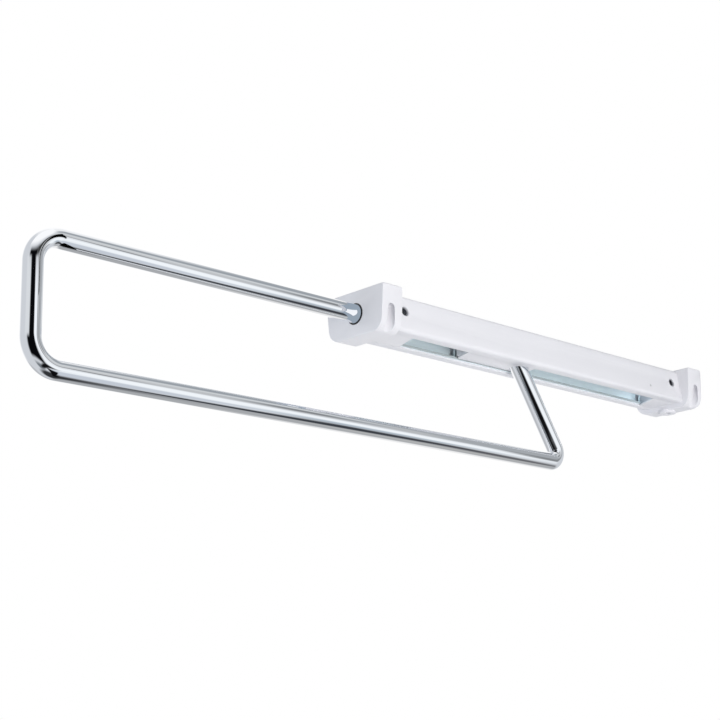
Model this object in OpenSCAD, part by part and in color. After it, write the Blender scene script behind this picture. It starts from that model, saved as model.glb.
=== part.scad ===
// Pull-out clothes rail that screws under a shelf.
// A bent bar slides out of a slotted housing and carries coat hangers.
// +X runs from the front of the wardrobe to its back, +Z is up.
// The origin lies at the centre of the four mounting screws, on the top face of the end caps.

/* [Hanging loop] */
// Diameter of the round bar
bar_d = 12; // [8:0.5:13]
// Depth of the bar's upper leg below the mounting face
bar_depth = 15.1; // [15:0.1:18]
// Reach of the loop in front of the housing, to the centre of its front leg
loop_reach = 234.5; // [120:0.5:400]
// Height between the upper and the lower leg, centre to centre
loop_drop = 72.5; // [60:0.5:120]
// Bend radius of the two front corners, at the bar's centre
front_bend_r = 16.2; // [12:0.2:25]
// Bend radius of the rear corner, at the bar's centre
rear_bend_r = 7; // [6.8:0.1:9]
// Angle between the slanted brace and the lower leg
brace_angle = 57; // [50:1:70]
// Length of the bar's upper end behind the front axle
bar_past_axle = 7.6; // [5:0.1:8.5]
// Length of the brace above the rear axle
brace_past_axle = 4.4; // [3:0.1:4.6]

/* [Housing] */
// Length of the housing over both end caps
housing_len = 350; // [320:1:600]
// Half the cover's width along its top
cover_top_half = 15; // [14.5:0.1:16]
// Half the cover's width along its bottom
cover_bottom_half = 18.8; // [18.6:0.1:20.5]
// Distance of the cover's top below the mounting face
cover_top_gap = 1.2; // [1.1:0.1:1.6]
// Thickness of the cover's sheet
cover_t = 1.2; // [0.8:0.1:1.4]
// Half the width of the slot in the cover's underside
slot_half = 10.5; // [10:0.1:11.5]
// Radius of the cover's upper corners
cover_top_r = 2.5; // [1.5:0.1:4]
// Radius of the cover's lower corners
cover_bottom_r = 2.4; // [1.3:0.1:3]

/* [Rail] */
// Thickness of the rail's sheet
rail_t = 1.5; // [1:0.1:1.8]
// Half the width of the slot between the rail's flanges
rail_slot_half = 9.2; // [9:0.1:10]
// Half the width of the rib that stands on the rail's web
rib_half = 6.5; // [6.2:0.1:8]
// Length of each stop tab
tab_len = 5.2; // [4:0.1:5.4]
// Height of each stop tab
tab_h = 6; // [4:0.1:7]
// Depth of the stop tabs' middle below the mounting face
tab_depth = 19.4; // [18:0.1:19.8]
// Inward set of each stop tab's free end
tab_set = 4; // [3:0.1:4.5]
// Width of the slits around the stop tabs
tab_slit = 0.8; // [0.4:0.1:1.2]
// Distance from the rear tab's free end to the rear of the housing
rear_tab_inset = 31.4; // [31.2:0.1:60]
// Number of rivets that hold the rail under the cover's top
rail_rivet_count = 3; // [2:1:5]

/* [Carriage] */
// Distance from the housing's front to the carriage's rear face, as stored
carriage_rear = 170; // [150:0.5:172]
// Wall of the carriage beside the bar
carriage_wall = 2.2; // [1.5:0.1:2.4]
// Distance between the two axles
axle_pitch = 21; // [20:0.5:30]
// Diameter of the axles
axle_d = 4; // [3:0.1:5]
// Diameter of the rollers
roller_d = 15.9; // [15:0.1:16.2]
// Width of the rollers
roller_w = 3.8; // [3:0.1:3.9]
// Length of the shoulder in front of the front rollers
shoulder_len = 3; // [2:0.1:5]
// Length of the head behind the rear rollers
head_len = 8; // [7.8:0.1:14]
// Length of the snout that holds the bar in front of the shoulder
snout_len = 17; // [10:0.5:24]
// Length of the slot shoe in front of the snout, on its near side
nose_len = 5; // [3:0.5:8]
// Length by which the slot shoe is shorter on the far side than on the near side
nose_slant = 6.3; // [0:0.1:7]
// Thickness of the slot shoe
shoe_t = 1.5; // [1.2:0.1:1.8]
// Distance that the loop can still be pulled out until it meets the front stop tabs, as stored
pull_spare = 9.5; // [9.5:0.5:14]
// Diameter of the rubber buffers
buffer_d = 3.4; // [2.4:0.1:3.6]
// Height of the rubber buffers
buffer_h = 1; // [0.5:0.1:2]

/* [End caps] */
// Length of each end cap's block
cap_len = 17.5; // [15:0.1:22]
// Half the block's width at its top
cap_top_half = 26; // [25.6:0.1:30]
// Half the block's width at its bottom, before the corners are rounded
cap_bottom_half = 23.4; // [23.2:0.1:28]
// Height of the block
cap_h = 30; // [28.5:0.1:34]
// Radius of the block's lower corners
cap_corner_r = 9; // [3:0.5:9.5]
// Length of the front cap's tongue inside the rail
front_tongue = 21.5; // [18:0.5:26]
// Length of the front cap's plate in the cover's slot
front_plate = 31.5; // [28:0.5:36]
// Length by which the front plate is shorter on the near side than on the far side
front_plate_slant = 7.5; // [0:0.5:9]
// Length of the rear cap's tongue inside the rail
rear_tongue = 8.5; // [8.2:0.1:8.6]
// Length of the rear cap's plate in the cover's slot
rear_plate = 27; // [18:0.5:27.5]
// Length by which the rear plate is shorter on the far side than on the near side
rear_plate_slant = 11.4; // [8:0.1:12]
// Height of the plates' underside above the cover's underside
plate_rise = 0.1; // [0:0.1:0.3]
// Wall of the guide bush around the bar
bush_wall = 0.9; // [0.7:0.1:2]

/* [Fixings] */
// Distance of the mounting screws from the housing's ends
screw_inset = 8; // [7:0.1:10]
// Distance of the mounting screws from the blocks' sides
screw_edge = 4; // [3.6:0.1:4.6]
// Diameter of the mounting screw holes
screw_hole_d = 4.2; // [3:0.1:4.4]
// Diameter of the recesses for the screw heads
screw_recess_d = 8; // [7:0.1:8.6]
// Depth of the recesses' round ends below the mounting face
screw_seat = 15; // [10:0.5:18]
// Distance of the side rivets from the front of the housing
front_rivet_inset = 28.5; // [26:0.5:31]
// Depth of the front side rivets below the mounting face
front_rivet_depth = 11.8; // [11:0.1:14]
// Distance of the side rivets from the rear of the housing
rear_rivet_inset = 27.8; // [27:0.1:28.6]
// Depth of the rear side rivets below the mounting face
rear_rivet_depth = 12.2; // [11:0.1:12.4]
// Diameter of the holes in the cover's sides
side_hole_d = 6.6; // [6.4:0.1:7.4]
// Outer diameter of the side rivets' shanks
rivet_d = 5.6; // [4:0.1:5.8]
// Wall of the side rivets
rivet_wall = 0.5; // [0.4:0.1:0.8]
// Width of the flange on the side rivets
rivet_flange = 0.35; // [0.2:0.05:0.4]
// Diameter of the boss under the rear cap
boss_d = 13; // [10:0.5:15]
// Distance of the boss from the rear of the housing
boss_inset = 12; // [9:0.5:12.5]
// Height of the boss under the rear cap
boss_h = 1.6; // [0.5:0.1:3]
// Diameter of the screw in the boss
boss_screw_d = 3; // [2:0.1:3.6]
// Diameter of the head of the screw in the boss
boss_head_d = 5; // [4:0.1:6]

/* [Hidden] */
$fn = 64;

// Clearances
eps = 0.01;
fit = 0.1;          // sheets and mouldings that lie in each other
run_gap = 0.05;     // radial play of a pin in its hole
bush_gap = 0.08;    // radial play of the bar in its bush
roller_gap = 0.35;  // rollers to the rail's web and flanges
side_gap = 0.4;     // rollers to what they turn beside
tongue_gap = 0.25;  // cap tongues to the rail
slide_gap = 0.6;    // sliding pieces to the rail's walls
bar_bore_gap = 0.8; // cap tongue to the bar that slides through it

// Heights, all below the mounting face at z = 0
bar_r = bar_d / 2;
bar_z = -bar_depth;
roller_r = roller_d / 2;
web_in_z = bar_z + roller_r + roller_gap;
web_z = web_in_z + rail_t;
flange_in_z = bar_z - roller_r - roller_gap;
flange_z = flange_in_z - rail_t;
cover_top_z = -cover_top_gap;
cover_in_z = flange_z - fit;
cover_bottom_z = cover_in_z - cover_t;
plate_z = cover_bottom_z + plate_rise;
rib_z = cover_top_z - cover_t - fit;

cover_bend = max(cover_top_r - cover_t, 0.3);

// Slanted walls
side_angle = atan((cover_bottom_half - cover_top_half) / (cover_top_z - cover_bottom_z));
function cover_half(z) = cover_top_half
    + (cover_bottom_half - cover_top_half) * (cover_top_z - z) / (cover_top_z - cover_bottom_z);
// Half width at depth z of a wall that lies t inside the cover's outer face
function wall_half(z, t) = cover_half(z) - t / cos(side_angle);
rail_out = cover_t + fit;
rail_in = rail_out + rail_t;
function cap_half(z) = cap_top_half + (cap_bottom_half - cap_top_half) * (-z / cap_h);

// Places along X
front_x = -housing_len / 2;
rear_x = housing_len / 2;
cover_front_x = front_x + cap_len;
cover_rear_x = rear_x - cap_len;
cover_len = cover_rear_x - cover_front_x - fit;
carriage_rear_x = front_x + carriage_rear;
screw_y = cap_top_half - screw_edge;
rear_axle_x = carriage_rear_x - head_len - slide_gap - roller_r;
front_axle_x = rear_axle_x - axle_pitch;
shoulder_x = front_axle_x - roller_r - slide_gap - shoulder_len;
snout_x = shoulder_x - snout_len;
nose_x = snout_x - nose_len;
front_leg_x = front_x - loop_reach;
low_z = bar_z - loop_drop;
corner_x = rear_axle_x + loop_drop / tan(brace_angle);
brace_len = loop_drop / sin(brace_angle);
bar_end_x = front_axle_x + bar_past_axle;
front_tab_x = shoulder_x - buffer_h - pull_spare - tab_len;
rear_tab_x = rear_x - rear_tab_inset;

// Carriage
carriage_half = bar_r + carriage_wall;
carriage_top_z = bar_z + roller_r;
carriage_bottom_z = bar_z - roller_r + slide_gap / 6;
shoe_half = rail_slot_half - slide_gap;
roller_y = carriage_half + side_gap;
clip_t = 0.6;
clip_d = axle_d + 3;
clip_y = roller_y + roller_w + roller_gap;
axle_half = clip_y + clip_t + 0.3;
buffer_y = wall_half(tab_z(), rail_in) - tab_set + rail_t / 2;
buffer_root = 2.5;
peg_d = 3;
peg_h = 5;
peg_x = bar_end_x + peg_d / 2 + 0.7;
peg_y = 4.8;

// Small parts
bush_r = bar_r + bush_gap + bush_wall;
rail_rivet_d = 4;
rail_rivet_head_d = 8;
rail_rivet_head_h = 0.9;
rivet_reach = 4.5;
rivet_head_t = 0.6;
boss_x = rear_x - boss_inset;
boss_screw_top = rib_z + 0.6;
boss_head_h = 2;
boss_recess = 1.4;
web_tongue = 11;
arc_steps = 6;

function tab_z() = -tab_depth;

// Outline helpers
function unit(v) = v / norm(v);
// Points of the arc that rounds corner b, which lies between a and c, by radius r
function corner(a, b, c, r) =
    let (u = unit(a - b), v = unit(c - b), half = acos(u * v) / 2,
        m = b + unit(u + v) * r / sin(half),
        p = b + u * r / tan(half) - m, q = b + v * r / tan(half) - m,
        a0 = atan2(p[1], p[0]), raw = atan2(q[1], q[0]) - a0,
        sweep = raw > 180 ? raw - 360 : raw < -180 ? raw + 360 : raw)
    [for (i = [0:arc_steps]) m + r * [cos(a0 + sweep * i / arc_steps), sin(a0 + sweep * i / arc_steps)]];
// Outline with its corners rounded, one radius for each point
function rounded(pts, radii) =
    let (n = len(pts))
    [for (i = [0:n - 1]) each (radii[i] > 0
        ? corner(pts[(i + n - 1) % n], pts[i], pts[(i + 1) % n], radii[i])
        : [pts[i]])];

// Draws a Y-Z outline along X from x0 for a length
module along_x(x0, length) translate([x0, 0, 0]) rotate([90, 0, 90]) linear_extrude(length) children();

// Round bar along X, Y or Z
module round_x(d, x0, x1) translate([x0, 0, 0]) rotate([0, 90, 0]) cylinder(d = d, h = x1 - x0);
module round_y(d, y0, y1) translate([0, y0, 0]) rotate([-90, 0, 0]) cylinder(d = d, h = y1 - y0);

// Copies on the near side (-Y) and the far side (+Y)
module both_sides() {
    children();
    mirror([0, 1, 0]) children();
}

// Moves to the cover's outer face on the far side at depth z, with +Z pointing out of the wall
module at_wall(x, z) translate([x, cover_half(z), z]) rotate([side_angle - 90, 0, 0]) children();

// Trapezium between two heights that follows the slanted walls, t inside the cover's outer face
module wall_shape(z_top, z_bottom, t)
    polygon([[-wall_half(z_top, t), z_top], [wall_half(z_top, t), z_top],
        [wall_half(z_bottom, t), z_bottom], [-wall_half(z_bottom, t), z_bottom]]);

module span(half, z0, z1) translate([-half, z0]) square([2 * half, z1 - z0]);

// White sheet steel cover, open below along the slot
module cover_section() polygon(rounded([
    [slot_half, cover_bottom_z],
    [cover_bottom_half, cover_bottom_z], [cover_top_half, cover_top_z],
    [-cover_top_half, cover_top_z], [-cover_bottom_half, cover_bottom_z],
    [-slot_half, cover_bottom_z],
    [-slot_half, cover_in_z], [-wall_half(cover_in_z, cover_t), cover_in_z],
    [-wall_half(cover_top_z - cover_t, cover_t), cover_top_z - cover_t],
    [wall_half(cover_top_z - cover_t, cover_t), cover_top_z - cover_t],
    [wall_half(cover_in_z, cover_t), cover_in_z], [slot_half, cover_in_z]],
    [0, cover_bottom_r, cover_top_r, cover_top_r, cover_bottom_r, 0,
        0, 0, cover_bend, cover_bend, 0, 0]));

module cover() color("ghostwhite") difference() {
    along_x(cover_front_x + fit / 2, cover_len) cover_section();
    both_sides() {
        at_wall(front_x + front_rivet_inset, -front_rivet_depth) side_hole();
        at_wall(rear_x - rear_rivet_inset, -rear_rivet_depth) side_hole();
    }
    for (x = rail_rivet_places()) translate([x, 0, cover_top_z - cover_t - 1])
        cylinder(d = rail_rivet_d, h = cover_t + 2);
}

module side_hole() translate([0, 0, -cover_t - 0.5]) cylinder(d = side_hole_d, h = cover_t + 2);

function rail_rivet_places() = [for (i = [0:rail_rivet_count - 1])
    cover_front_x + cover_len * (i + 0.5) / rail_rivet_count];

// Zinc-plated rail that nests in the cover
module rail_section() {
    difference() {
        union() {
            wall_shape(web_z, flange_z, rail_out);
            span(rib_half, web_z - eps, rib_z);
        }
        wall_shape(web_in_z, flange_in_z, rail_in);
        span(rib_half - rail_t, web_in_z - eps, rib_z - rail_t);
        span(rail_slot_half, flange_z - eps, flange_in_z + eps);
    }
}

// Stop tab: cut free on three sides and bent inwards, with its free end at x
module tab_window(x) at_wall(x, tab_z()) translate([-tab_slit, -tab_h / 2 - tab_slit, -rail_in - 1])
    cube([tab_len + tab_slit, tab_h + 2 * tab_slit, rail_t + 1 + fit / 2]);

module tab(x) at_wall(x, tab_z()) translate([0, tab_h / 2, -rail_out]) rotate([90, 0, 0]) linear_extrude(tab_h)
    polygon([[tab_len + rail_t, 0], [0, -tab_set], [0, -tab_set - rail_t],
        [tab_len + rail_t / 3, -rail_t], [tab_len + rail_t, -rail_t]]);

module rail() color("lightsteelblue") {
    difference() {
        along_x(cover_front_x + fit, cover_len - fit) rail_section();
        both_sides() {
            tab_window(front_tab_x);
            tab_window(rear_tab_x);
            at_wall(front_x + front_rivet_inset, -front_rivet_depth) rivet_hole();
            at_wall(rear_x - rear_rivet_inset, -rear_rivet_depth) rivet_hole();
        }
        for (x = rail_rivet_places()) translate([x, 0, rib_z - rail_t - 1])
            cylinder(d = rail_rivet_d, h = rail_t + 2);
    }
    both_sides() {
        tab(front_tab_x);
        tab(rear_tab_x);
    }
    difference() {
        translate([cover_rear_x - 1, -rib_half, rib_z - rail_t]) cube([web_tongue + 1, 2 * rib_half, rail_t]);
        translate([boss_x, 0, rib_z - rail_t - 1]) cylinder(d = boss_screw_d + 2 * run_gap, h = rail_t + 2);
    }
}

module rivet_hole() translate([0, 0, -rail_in - 8])
    cylinder(d = rivet_d + 2 * run_gap, h = rail_in + 8 + rivet_head_t);

// Block of an end cap: its outline from the front, from the side and from above, in one
module cap_block(x0, side_radii, plan_radii) {
    x1 = x0 + cap_len;
    intersection() {
        along_x(x0, cap_len)
            polygon(rounded([[-cap_top_half, 0], [cap_top_half, 0],
                [cap_bottom_half, -cap_h], [-cap_bottom_half, -cap_h]],
                [0.8, 0.8, cap_corner_r, cap_corner_r]));
        translate([0, cap_top_half + 1, 0]) rotate([90, 0, 0]) linear_extrude(2 * cap_top_half + 2)
            polygon(rounded([[x0, 0], [x1, 0], [x1, -cap_h], [x0, -cap_h]], side_radii));
        translate([0, 0, -cap_h - 1]) linear_extrude(cap_h + 2)
            polygon(rounded([[x0, -cap_top_half], [x1, -cap_top_half],
                [x1, cap_top_half], [x0, cap_top_half]], plan_radii));
    }
}

// Part of a cap that goes into the rail, from x0 for a length, down to its plate in the slot
module cap_tongue(x0, length) along_x(x0, length) {
    wall_shape(web_in_z - tongue_gap, flange_in_z + tongue_gap, rail_in + tongue_gap);
    span(rail_slot_half - tongue_gap, plate_z + eps, flange_in_z + tongue_gap + eps);
}

// Plate of a cap in the cover's slot, with its end cut off along an outline seen from above
module cap_plate(x0, length, cut) difference() {
    translate([x0, -slot_half + tongue_gap, plate_z])
        cube([length, 2 * (slot_half - tongue_gap), flange_z - fit - plate_z]);
    translate([0, 0, plate_z - 1]) linear_extrude(cap_h) polygon(cut);
}

// Mounting screw hole with its recess, open to the side and to the bottom
module screw_place(x) both_sides() translate([x, screw_y, 0]) {
    translate([0, 0, -cap_h - 1]) cylinder(d = screw_hole_d, h = cap_h + 2);
    translate([0, 0, -cap_h - 1]) cylinder(d = screw_recess_d, h = cap_h + 1 - screw_seat);
    translate([0, 0, -screw_seat]) sphere(d = screw_recess_d);
}

module front_cap() color("white") difference() {
    front_end = cover_front_x + front_plate;
    union() {
        cap_block(front_x, [1, 2.5, 1.2, 1], [1.2, 1, 1, 1.2]);
        cap_tongue(cover_front_x - 1, front_tongue + 1);
        cap_plate(cover_front_x - 1, front_plate + 1, [[front_end - front_plate_slant, -slot_half],
            [front_end, slot_half], [front_end + 1, slot_half], [front_end + 1, -slot_half]]);
    }
    translate([0, 0, bar_z]) round_x(2 * (bush_r + run_gap), front_x - 1, cover_front_x);
    translate([0, 0, bar_z]) round_x(bar_d + 2 * bar_bore_gap, cover_front_x - 1, cover_front_x + front_tongue + 1);
    screw_place(front_x + screw_inset);
    both_sides() at_wall(front_x + front_rivet_inset, -front_rivet_depth) rivet_hole();
}

module rear_cap() color("white") difference() {
    rear_end = cover_rear_x - rear_plate;
    union() {
        cap_block(cover_rear_x, [1.5, 3, 4, 1], [1, 2, 2, 1]);
        cap_tongue(cover_rear_x - rear_tongue, rear_tongue + 1);
        cap_plate(cover_rear_x - rear_plate, rear_plate + 1, [[rear_end, -slot_half],
            [rear_end + rear_plate_slant, slot_half], [rear_end - 1, slot_half], [rear_end - 1, -slot_half]]);
        translate([boss_x, 0, -cap_h - boss_h]) cylinder(d = boss_d, h = boss_h + 1);
    }
    screw_place(rear_x - screw_inset);
    both_sides() at_wall(rear_x - rear_rivet_inset, -rear_rivet_depth) rivet_hole();
    translate([cover_rear_x - 1, -rib_half - fit, rib_z - rail_t - fit])
        cube([web_tongue + 1 + 2 * fit, 2 * (rib_half + fit), rail_t + 2 * fit]);
    translate([boss_x, 0, -cap_h - boss_h - 1]) {
        cylinder(d = boss_screw_d + 2 * run_gap, h = boss_screw_top + fit + cap_h + boss_h + 1);
        cylinder(d = boss_head_d + 2 * fit, h = 1 + boss_recess + boss_head_h);
    }
}

// Bush in the front cap that the bar slides through
module guide_bush() color("darkslategray") translate([0, 0, bar_z]) difference() {
    round_x(2 * bush_r, front_x, cover_front_x - fit);
    round_x(bar_d + 2 * bush_gap, front_x - 1, cover_front_x + 1);
}

// Tubular rivets that hold the rail and the cap's tongue behind the holes in the cover's sides
module side_rivets(x, z) both_sides() at_wall(x, z) difference() {
    union() {
        translate([0, 0, -rail_in - rivet_reach]) cylinder(d = rivet_d, h = rail_t + rivet_reach);
        translate([0, 0, -rail_out]) cylinder(d = rivet_d + 2 * rivet_flange, h = rivet_head_t);
    }
    translate([0, 0, -rail_in - rivet_reach + 1]) cylinder(d = rivet_d - 2 * rivet_wall, h = rail_in + rivet_reach);
}

module front_side_rivets() color("silver") side_rivets(front_x + front_rivet_inset, -front_rivet_depth);
module rear_side_rivets() color("silver") side_rivets(rear_x - rear_rivet_inset, -rear_rivet_depth);

module rail_rivets() color("silver") for (x = rail_rivet_places()) translate([x, 0, 0]) {
    translate([0, 0, cover_top_z]) cylinder(d = rail_rivet_head_d, h = rail_rivet_head_h);
    translate([0, 0, rib_z - rail_t]) cylinder(d = rail_rivet_d - 2 * run_gap, h = cover_top_z - rib_z + rail_t);
    translate([0, 0, rib_z - rail_t - rail_rivet_head_h])
        cylinder(d = rail_rivet_head_d, h = rail_rivet_head_h);
}

module boss_screw() color("silver") translate([boss_x, 0, 0]) difference() {
    union() {
        translate([0, 0, -cap_h - boss_h + boss_recess]) cylinder(d = boss_head_d, h = boss_head_h);
        translate([0, 0, -cap_h - boss_h + boss_recess + boss_head_h - eps])
            cylinder(d = boss_screw_d, h = boss_screw_top + cap_h + boss_h - boss_recess - boss_head_h);
    }
    translate([0, 0, -cap_h - boss_h + boss_recess - eps]) {
        translate([-0.4, -1.5, 0]) cube([0.8, 3, 1.2]);
        translate([-1.5, -0.4, 0]) cube([3, 0.8, 1.2]);
    }
}

// Quarter or part turn of the bar about the point (x, z), from angle a0 for a sweep
module bend(x, z, r, a0, sweep) translate([x, 0, z]) rotate([90, 0, 0]) rotate([0, 0, a0])
    rotate_extrude(angle = sweep) translate([r, 0]) circle(d = bar_d);

module loop_bar() color("gainsboro") {
    rear_turn = 180 - brace_angle;
    tangent = rear_bend_r * tan(rear_turn / 2);
    difference() {
        union() {
            translate([0, 0, bar_z]) round_x(bar_d, front_leg_x + front_bend_r, bar_end_x);
            bend(front_leg_x + front_bend_r, bar_z - front_bend_r, front_bend_r, 90, 90);
            translate([front_leg_x, 0, low_z + front_bend_r])
                cylinder(d = bar_d, h = loop_drop - 2 * front_bend_r);
            bend(front_leg_x + front_bend_r, low_z + front_bend_r, front_bend_r, 180, 90);
            translate([0, 0, low_z]) round_x(bar_d, front_leg_x + front_bend_r, corner_x - tangent);
            bend(corner_x - tangent, low_z + rear_bend_r, rear_bend_r, -90, rear_turn);
            translate([corner_x - tangent, 0, low_z + rear_bend_r]) rotate([90, 0, 0])
                rotate([0, 0, rear_turn - 90]) translate([rear_bend_r, 0, 0]) rotate([-90, 0, 0])
                    cylinder(d = bar_d, h = brace_len + brace_past_axle - tangent);
        }
        for (x = [front_axle_x, rear_axle_x]) translate([x, 0, bar_z])
            round_y(axle_d + 2 * run_gap, -bar_d, bar_d);
    }
}

// Slanted space of the brace, with play all round
module brace_space(play, past) translate([corner_x, 0, low_z]) rotate([0, brace_angle - 90, 0])
    cylinder(d = bar_d + 2 * play, h = brace_len + past);

module carriage() color("white") difference() {
    union() {
        along_x(snout_x, carriage_rear_x - snout_x) span(carriage_half, carriage_bottom_z, carriage_top_z);
        along_x(shoulder_x, shoulder_len) wall_shape(carriage_top_z, carriage_bottom_z, rail_in + slide_gap);
        along_x(carriage_rear_x - head_len, head_len)
            wall_shape(carriage_top_z, carriage_bottom_z, rail_in + slide_gap);
    }
    translate([0, 0, bar_z]) round_x(bar_d + 2 * run_gap, snout_x - 1, bar_end_x + fit);
    brace_space(run_gap, brace_past_axle + fit);
    for (x = [front_axle_x, rear_axle_x]) translate([x, 0, bar_z])
        round_y(axle_d + 2 * run_gap, -carriage_half - 1, carriage_half + 1);
    for (side = [-1, 1]) {
        translate([peg_x, side * peg_y, carriage_bottom_z - 1]) cylinder(d = peg_d, h = peg_h + 1 + fit);
        translate([0, side * buffer_y, tab_z()]) {
            round_x(buffer_d, shoulder_x - 1, shoulder_x + buffer_root);
            round_x(buffer_d, carriage_rear_x - buffer_root, carriage_rear_x + 1);
        }
    }
}

// Shoe that closes the carriage from below and guides it between the rail's flanges
module slot_shoe() color("white") {
    bottom_z = carriage_bottom_z - shoe_t;
    difference() {
        translate([0, 0, bottom_z]) linear_extrude(shoe_t)
            polygon(rounded([[nose_x, -shoe_half], [carriage_rear_x, -shoe_half],
                [carriage_rear_x, shoe_half], [nose_x + nose_slant, shoe_half]], [0.8, 1, 1, 0.8]));
        brace_space(0.3, 0);
    }
    for (side = [-1, 1]) translate([peg_x, side * peg_y, carriage_bottom_z - eps])
        cylinder(d = peg_d - 2 * run_gap, h = peg_h + eps);
}

module axle(x) color("silver") translate([x, 0, bar_z]) round_y(axle_d, -axle_half, axle_half);
module front_axle() axle(front_axle_x);
module rear_axle() axle(rear_axle_x);

// Push-on washers that keep the rollers on an axle
module axle_clips(x) color("dimgray") both_sides() translate([x, 0, bar_z]) difference() {
    round_y(clip_d, clip_y, clip_y + clip_t);
    round_y(axle_d + run_gap / 2, clip_y - 1, clip_y + clip_t + 1);
}
module front_axle_clips() axle_clips(front_axle_x);
module rear_axle_clips() axle_clips(rear_axle_x);

// Rubber plugs that meet the stop tabs
module buffer_pair(x) color("dimgray") both_sides() translate([0, buffer_y, tab_z()])
    round_x(buffer_d - 2 * run_gap, x, x + buffer_root + buffer_h - fit);
module front_buffers() buffer_pair(shoulder_x - buffer_h);
module rear_buffers() buffer_pair(carriage_rear_x - buffer_root + fit);

// Roller with a shallow face recess, on the near side for side = -1 and the far side for side = 1
module roller(x, side) color("whitesmoke") translate([x, 0, bar_z]) mirror([0, side < 0 ? 1 : 0, 0])
    difference() {
        round_y(roller_d, roller_y, roller_y + roller_w);
        round_y(axle_d + 2 * run_gap, roller_y - 1, roller_y + roller_w + 1);
        difference() {
            round_y(roller_d - 4, roller_y + roller_w - 0.8, roller_y + roller_w + 1);
            round_y(axle_d + 3, roller_y, roller_y + roller_w + 1);
        }
    }
module roller_front_near() roller(front_axle_x, -1);
module roller_front_far() roller(front_axle_x, 1);
module roller_rear_near() roller(rear_axle_x, -1);
module roller_rear_far() roller(rear_axle_x, 1);

cover();
rail();
front_cap();
rear_cap();
guide_bush();
front_side_rivets();
rear_side_rivets();
rail_rivets();
boss_screw();
loop_bar();
carriage();
slot_shoe();
front_axle();
rear_axle();
front_axle_clips();
rear_axle_clips();
front_buffers();
rear_buffers();
roller_front_near();
roller_front_far();
roller_rear_near();
roller_rear_far();
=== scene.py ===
import math

import bmesh
import bpy
import numpy as np
from bpy.props import FloatProperty, FloatVectorProperty, IntProperty, PointerProperty
from mathutils import Matrix, Vector


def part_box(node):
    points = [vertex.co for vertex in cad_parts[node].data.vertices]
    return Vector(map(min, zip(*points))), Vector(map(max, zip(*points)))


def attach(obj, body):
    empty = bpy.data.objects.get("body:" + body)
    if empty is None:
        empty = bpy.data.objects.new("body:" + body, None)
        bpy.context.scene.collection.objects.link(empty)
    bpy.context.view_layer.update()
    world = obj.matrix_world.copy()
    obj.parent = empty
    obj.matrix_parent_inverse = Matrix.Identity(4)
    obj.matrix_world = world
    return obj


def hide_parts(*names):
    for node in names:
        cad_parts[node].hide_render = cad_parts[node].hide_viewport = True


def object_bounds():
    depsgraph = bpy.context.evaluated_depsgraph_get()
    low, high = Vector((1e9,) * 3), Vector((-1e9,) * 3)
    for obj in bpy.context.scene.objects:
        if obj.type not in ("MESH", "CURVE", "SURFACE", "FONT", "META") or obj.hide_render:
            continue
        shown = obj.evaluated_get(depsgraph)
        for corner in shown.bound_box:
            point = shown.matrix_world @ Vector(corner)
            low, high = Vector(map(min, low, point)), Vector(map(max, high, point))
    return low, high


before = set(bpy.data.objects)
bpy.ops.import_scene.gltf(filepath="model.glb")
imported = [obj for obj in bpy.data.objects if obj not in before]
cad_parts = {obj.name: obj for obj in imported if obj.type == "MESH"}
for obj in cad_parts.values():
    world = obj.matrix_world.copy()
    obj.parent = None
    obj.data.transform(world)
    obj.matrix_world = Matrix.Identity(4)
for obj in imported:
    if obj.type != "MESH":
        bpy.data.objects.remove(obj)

bl_info = {
    "name": "Pull-out clothes rail",
    "version": (1, 0, 0),
    "blender": (4, 5, 0),
    "location": "View3D > Sidebar > Clothes rail",
    "description": "Dresses the pull-out clothes rail: chrome loop, white housing, caps and carriage",
    "category": "Object",
}

# Measures of the CAD model
MM = 0.001
CAD_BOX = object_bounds()
BAR_LO, BAR_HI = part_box("loop_bar")
BUSH_LO, BUSH_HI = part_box("guide_bush")
FRONT_AXLE_LO, FRONT_AXLE_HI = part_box("front_axle")
REAR_AXLE_LO, REAR_AXLE_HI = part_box("rear_axle")
BAR_R = (BAR_HI[1] - BAR_LO[1]) / 2
TOP_Z = (BUSH_LO[2] + BUSH_HI[2]) / 2        # the height of the upper leg's centre line
FRONT_X = BAR_LO[0]                          # the loop's foremost point
CAP_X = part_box("front_cap")[0][0]            # the front cap's face
REAR_X = CAD_BOX[1][0]                       # the rear cap's face
FRONT_AXLE_X = (FRONT_AXLE_LO[0] + FRONT_AXLE_HI[0]) / 2
REAR_AXLE_X = (REAR_AXLE_LO[0] + REAR_AXLE_HI[0]) / 2


# Settings

class RailBarSettings(bpy.types.PropertyGroup):
    front_bend: FloatProperty(
        name="Front bend radius", description="Bend radius of the two front corners at the bar's centre",
        default=16.2 * MM, unit="LENGTH")
    rear_bend: FloatProperty(
        name="Rear bend radius", description="Bend radius of the rear corner at the bar's centre",
        default=7 * MM, unit="LENGTH")
    brace_angle: FloatProperty(
        name="Brace angle", description="Angle between the slanted brace and the lower leg",
        default=math.radians(57), subtype="ANGLE")
    past_front_axle: FloatProperty(
        name="Past the front axle", description="Length of the upper end behind the front axle",
        default=7.6 * MM, unit="LENGTH")
    past_rear_axle: FloatProperty(
        name="Past the rear axle", description="Length of the brace above the rear axle",
        default=4.4 * MM, unit="LENGTH")
    chamfer: FloatProperty(
        name="End chamfer", description="Chamfer on the bar's cut ends", default=0.8 * MM, unit="LENGTH")
    sides: IntProperty(name="Sides", description="Faces round the bar", default=96, min=16)
    chrome: FloatVectorProperty(
        name="Chrome", description="Colour of the chrome plating",
        default=(0.90, 0.915, 0.94), subtype="COLOR")


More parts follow.
